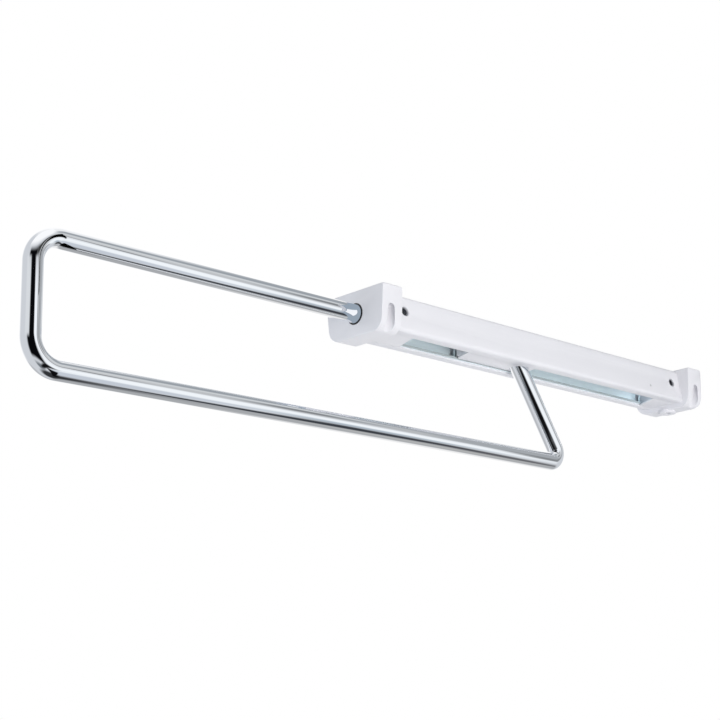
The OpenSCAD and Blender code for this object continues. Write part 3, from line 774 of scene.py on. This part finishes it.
def tent_material():
    """Light of the studio tent, by the direction of a point from the tent's centre."""
    mat, tree, out = blank_material("studio_tent")
    mat.cycles.emission_sampling = "NONE"
    outwards = node(tree, "VectorMath", {0: node(tree, "TexCoord").outputs["Object"]}, operation="NORMALIZE")
    place = node(tree, "SeparateXYZ", {0: outwards.outputs[0]}).outputs
    bearing = maths(tree, "DEGREES", maths(tree, "ARCTAN2", place["Y"], place["X"]))
    height = maths(tree, "DEGREES", maths(tree, "ARCSINE", place["Z"]))
    panel = panel_group()
    base = node(tree, "RGB")
    base.outputs[0].default_value = (*TENT_BASE, 1)
    colour = base.outputs[0]
    for name, (left, right), (low, high), lean, soft, light in TENT_PANELS:
        colour = node(tree, "Group", {
            "Color": colour,
            "Bearing": bearing,
            "Height": height,
            "Middle": (left + right) / 2,
            "Half Width": (right - left) / 2,
            "Centre": (low + high) / 2,
            "Half Height": (high - low) / 2,
            "Lean": lean,
            "Soft": soft,
            "Panel": (*light, 1),
        }, node_tree=panel, label=name).outputs[0]
    tree.links.new(node(tree, "Emission", {"Color": colour}).outputs[0], out)
    return mat


def card_material(name, light):
    """A card's light, on its front side only."""
    mat, tree, out = blank_material(name)
    mat.cycles.emission_sampling = "NONE"
    back = node(tree, "NewGeometry").outputs["Backfacing"]
    glow = node(tree, "Emission", {"Color": (*light, 1)}).outputs[0]
    clear = node(tree, "BsdfTransparent").outputs[0]
    tree.links.new(node(tree, "MixShader", {0: back, 1: glow, 2: clear}).outputs[0], out)
    return mat


def floor_material(s):
    """A pale floor that takes the object's shadow, lifted where it is seen."""
    mat, tree, out = blank_material("pale_floor")
    lift = maths(tree, "MULTIPLY", seen_directly(tree), s.floor_glow)
    plain = node(tree, "BsdfDiffuse", {"Color": (*s.floor_colour, 1)}).outputs[0]
    glow = node(tree, "Emission", {"Strength": lift}).outputs[0]
    tree.links.new(node(tree, "AddShader", {0: plain, 1: glow}).outputs[0], out)
    return mat


def square_mesh(name, centre, along, across):
    """Mesh of one flat square: centre +- along +- across, facing the way that along x across points."""
    mesh = bpy.data.meshes.new(name)
    near, far = centre - across, centre + across
    corners = [near - along, near + along, far + along, far - along]
    mesh.from_pydata(corners, [], [(0, 1, 2, 3)])
    return mesh


def stage_object(mesh, mat, only_reflected):
    """An object of the stage. With only_reflected, glossy rays see it and nothing else does."""
    mesh.materials.append(mat)
    obj = bpy.data.objects.new(mesh.name, mesh)
    bpy.context.scene.collection.objects.link(obj)
    if only_reflected:
        obj.visible_camera = obj.visible_diffuse = obj.visible_shadow = obj.visible_transmission = False
    return obj


class RAIL_OT_stage(bpy.types.Operator):
    """Make the floor, the soft light, the tent and cards that the chrome reflects, and the camera"""
    bl_idname = "rail.stage"
    bl_label = "Stage"

    def execute(self, context):
        scene = context.scene
        s = scene.rail_stage
        self.world(scene, s)
        self.floor(s)
        self.tent(s)
        self.cards()
        for name, power, place, aim, width, colour in LAMPS:
            self.lamp(name, getattr(s, power), place, aim, width, colour)
        self.camera(scene)
        scene.view_settings.view_transform = "Standard"
        return {"FINISHED"}

    def world(self, scene, s):
        """Soft light from all sides, and plain white where the background is seen."""
        world = bpy.data.worlds.new("studio")
        scene.world = world
        world.use_nodes = True
        tree = world.node_tree
        tree.nodes.clear()
        out = tree.nodes.new("ShaderNodeOutputWorld")
        soft = node(tree, "Background", {"Color": (*s.ambient_colour, 1), "Strength": s.ambient}).outputs[0]
        white = node(tree, "Background", {"Color": WHITE, "Strength": 1.0}).outputs[0]
        mix = node(tree, "MixShader", {"Fac": seen_directly(tree), 1: soft, 2: white})
        tree.links.new(mix.outputs[0], out.inputs["Surface"])

    def floor(self, s):
        """A wide flat floor below the object."""
        mesh = square_mesh("floor", Vector((0, 0, s.floor_z)), Vector((s.floor_half, 0, 0)),
                           Vector((0, s.floor_half, 0)))
        stage_object(mesh, floor_material(s), only_reflected=False)

    def tent(self, s):
        """A ball round the object, between it and the floor."""
        bm = bmesh.new()
        bmesh.ops.create_uvsphere(bm, u_segments=TENT_COLUMNS, v_segments=TENT_ROWS, radius=s.tent_radius)
        mesh = bpy.data.meshes.new("studio_tent")
        bm.to_mesh(mesh)
        bm.free()
        stage_object(mesh, tent_material(), only_reflected=True).location = s.tent_centre

    def cards(self):
        """The small flat cards at the upper front bend and on the front cap."""
        for title, centre, along, across, (half_along, half_across), light in CARDS:
            name = title.replace(" ", "_")
            mesh = square_mesh(name, Vector(centre), Vector(along).normalized() * half_along * MM,
                               Vector(across).normalized() * half_across * MM)
            stage_object(mesh, card_material(name, light), only_reflected=True)

    def lamp(self, name, power, place, aim, width, colour):
        """A soft round lamp at a place, turned to its aim."""
        light = bpy.data.lights.new(name, "AREA")
        light.shape = "DISK"
        light.size = width
        light.energy = power
        light.color = colour
        obj = bpy.data.objects.new(name, light)
        bpy.context.scene.collection.objects.link(obj)
        obj.location = place
        obj.rotation_euler = (Vector(aim) - Vector(place)).to_track_quat("-Z", "Y").to_euler()
        obj.visible_glossy = obj.visible_camera = False

    def camera(self, scene):
        """A long lens from below and to the front left, level but for a small roll, as in the photograph."""
        yaw, pitch, roll = (math.radians(angle) for angle in (CAMERA_YAW, CAMERA_PITCH, CAMERA_ROLL))
        ahead = Vector((math.sin(yaw) * math.cos(pitch), math.cos(yaw) * math.cos(pitch), math.sin(pitch)))
        level = Vector((math.cos(yaw), -math.sin(yaw), 0))
        upright = level.cross(ahead)
        right = level * math.cos(roll) + upright * math.sin(roll)
        up = upright * math.cos(roll) - level * math.sin(roll)
        lens = bpy.data.cameras.new("camera")
        lens.sensor_width = SENSOR_MM
        lens.lens = CAMERA_FOCUS_PX / PHOTO_WIDTH_PX * SENSOR_MM
        lens.clip_start = NEAREST
        lens.clip_end = FARTHEST
        camera = bpy.data.objects.new("camera", lens)
        scene.collection.objects.link(camera)
        turned = Matrix((right, up, -ahead)).transposed().to_4x4()
        camera.matrix_world = Matrix.Translation(CAMERA_PLACE) @ turned
        scene.camera = camera


# Add-on

class RAIL_PT_panel(bpy.types.Panel):
    """The rail's pieces in the sidebar"""
    bl_idname = "RAIL_PT_panel"
    bl_label = "Clothes rail"
    bl_space_type = "VIEW_3D"
    bl_region_type = "UI"
    bl_category = "Clothes rail"

    def draw(self, context):
        for cls in OPERATORS:
            self.layout.operator(cls.bl_idname)
        for settings in SETTINGS:
            box = self.layout.box()
            data = getattr(context.scene, settings)
            for key in data.__annotations__:
                box.prop(data, key)


SETTINGS = {
    "rail_bar": RailBarSettings,
    "rail_housing": RailHousingSettings,
    "rail_moulding": RailMouldingSettings,
    "rail_stage": RailStageSettings,
}
OPERATORS = [RAIL_OT_stage, RAIL_OT_housing, RAIL_OT_caps, RAIL_OT_bar, RAIL_OT_carriage, RAIL_OT_small_parts]


def register():
    for name, cls in SETTINGS.items():
        bpy.utils.register_class(cls)
        setattr(bpy.types.Scene, name, PointerProperty(type=cls))
    for cls in [*OPERATORS, RAIL_PT_panel]:
        bpy.utils.register_class(cls)


def unregister():
    for cls in [RAIL_PT_panel, *reversed(OPERATORS)]:
        bpy.utils.unregister_class(cls)
    for name, cls in SETTINGS.items():
        delattr(bpy.types.Scene, name)
        bpy.utils.unregister_class(cls)


def main():
    register()
    make_materials(bpy.context.scene)
    bpy.ops.rail.stage()
    bpy.ops.rail.housing()
    bpy.ops.rail.caps()
    bpy.ops.rail.bar()
    bpy.ops.rail.carriage()
    bpy.ops.rail.small_parts()


if __name__ == "__main__":
    main()
